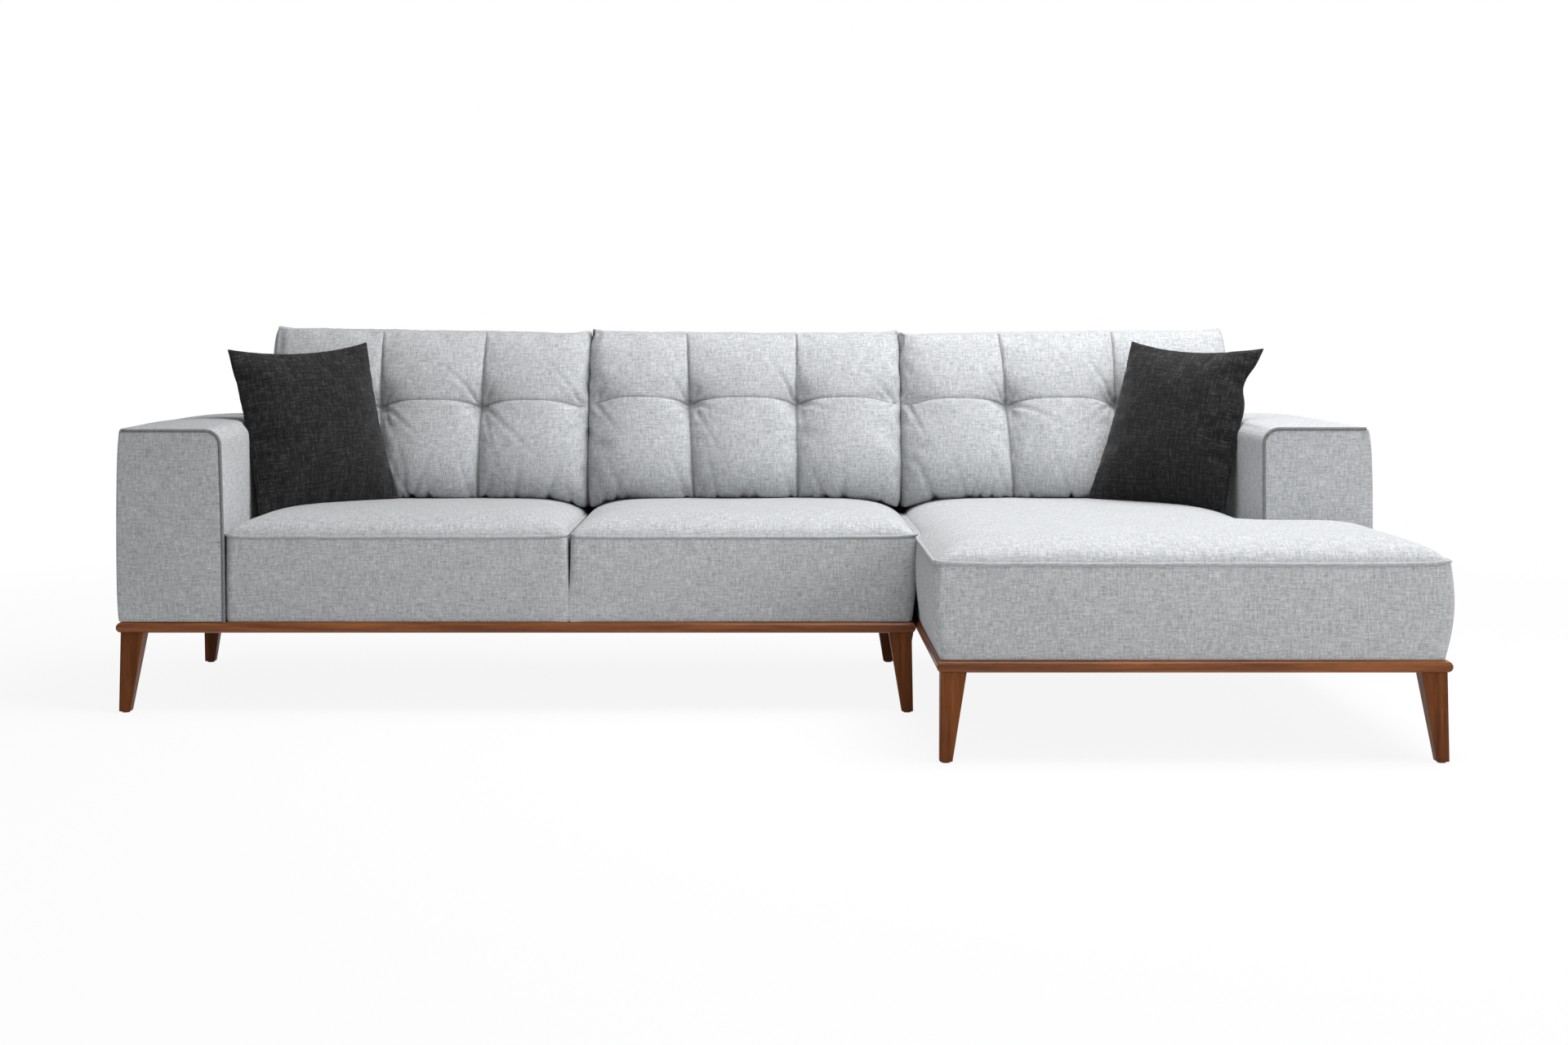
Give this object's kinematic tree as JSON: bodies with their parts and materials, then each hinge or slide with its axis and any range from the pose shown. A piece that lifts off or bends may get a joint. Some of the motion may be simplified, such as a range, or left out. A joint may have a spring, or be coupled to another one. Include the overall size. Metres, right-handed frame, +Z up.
{
  "type": "corner sofa",
  "caption": "L-shaped corner sofa in two hooked modules, with a chaise, loose tufted back cushions, scatter cushions, a bullnosed timber plinth and tapered legs.",
  "frame": {"origin": "on the floor, at the middle of the sofa's box in plan", "axes": "+X to the right as seen from the front, towards the chaise; +Y to the back; +Z up"},
  "size_m": [2.974, 1.582, 0.907],
  "materials": {
    "grey_fabric": "light grey melange weave",
    "charcoal_fabric": "charcoal coarse weave",
    "walnut": "walnut stain, satin",
    "softwood": "sawn softwood",
    "cushion_fill": "foam and fibre",
    "webbing": "elastic webbing",
    "dust_cloth": "black felted cloth",
    "steel": "zinc plated",
    "nylon": "moulded nylon"
  },
  "bodies": {
    "back_cushion_left": {"back_cushion_left_core": "cushion_fill", "back_cushion_left_cover": "grey_fabric"},
    "back_cushion_middle": {"back_cushion_middle_core": "cushion_fill", "back_cushion_middle_cover": "grey_fabric"},
    "back_cushion_right": {"back_cushion_right_core": "cushion_fill", "back_cushion_right_cover": "grey_fabric"},
    "chaise": {"chaise_back_cover": "grey_fabric", "chaise_back_frame": "softwood", "chaise_corner_blocks": "softwood", "chaise_dust_cover": "dust_cloth", "chaise_frame_bolts": "steel", "chaise_leg_back_left": "walnut", "chaise_leg_back_right": "walnut", "chaise_leg_front_left": "walnut", "chaise_leg_front_right": "walnut", "chaise_leg_glides": "nylon", "chaise_plinth_back": "walnut", "chaise_plinth_front": "walnut", "chaise_plinth_left": "walnut", "chaise_plinth_right": "walnut", "chaise_seat_cover": "grey_fabric", "chaise_seat_cross_rails": "softwood", "chaise_seat_foam": "cushion_fill", "chaise_seat_long_rails": "softwood", "chaise_seat_welt": "grey_fabric", "chaise_webbing": "webbing", "connector_sockets": "steel", "right_arm_cover": "grey_fabric", "right_arm_frame": "softwood", "right_arm_welt": "grey_fabric"},
    "sofa": {"connector_hooks": "steel", "left_arm_cover": "grey_fabric", "left_arm_frame": "softwood", "left_arm_welt": "grey_fabric", "sofa_back_cover": "grey_fabric", "sofa_back_frame": "softwood", "sofa_corner_blocks": "softwood", "sofa_dust_cover": "dust_cloth", "sofa_frame_bolts": "steel", "sofa_leg_back_left": "walnut", "sofa_leg_back_right": "walnut", "sofa_leg_front_left": "walnut", "sofa_leg_front_right": "walnut", "sofa_leg_glides": "nylon", "sofa_plinth_back": "walnut", "sofa_plinth_front": "walnut", "sofa_plinth_left": "walnut", "sofa_plinth_right": "walnut", "sofa_seat_cover_left": "grey_fabric", "sofa_seat_cover_right": "grey_fabric", "sofa_seat_cross_rails": "softwood", "sofa_seat_foams": "cushion_fill", "sofa_seat_long_rails": "softwood", "sofa_seat_welts": "grey_fabric", "sofa_webbing": "webbing"},
    "scatter_cushion_left": {"scatter_cushion_left_cover": "charcoal_fabric", "scatter_cushion_left_insert": "cushion_fill"},
    "scatter_cushion_right": {"scatter_cushion_right_cover": "charcoal_fabric", "scatter_cushion_right_insert": "cushion_fill"}
  },
  "joints": [
    {"name": "chaise_unhook", "type": "slide", "parent": "sofa", "child": "chaise", "axis": [0, 0, 1], "range_m": [0, 0.04]},
    {"name": "back_cushion_left_lift", "type": "slide", "parent": "sofa", "child": "back_cushion_left", "axis": [0, 0.1145, 0.9934], "range_m": [0, 0.5]},
    {"name": "back_cushion_middle_lift", "type": "slide", "parent": "sofa", "child": "back_cushion_middle", "axis": [0, 0.1145, 0.9934], "range_m": [0, 0.5]},
    {"name": "back_cushion_right_lift", "type": "slide", "parent": "chaise", "child": "back_cushion_right", "axis": [0, 0.1145, 0.9934], "range_m": [0, 0.5]},
    {"name": "scatter_cushion_left_lift", "type": "slide", "parent": "back_cushion_left", "child": "scatter_cushion_left", "axis": [0, -0.5, 0.866], "range_m": [0, 0.55]},
    {"name": "scatter_cushion_right_lift", "type": "slide", "parent": "back_cushion_right", "child": "scatter_cushion_right", "axis": [0, -0.5, 0.866], "range_m": [0, 0.55]}
  ]
}
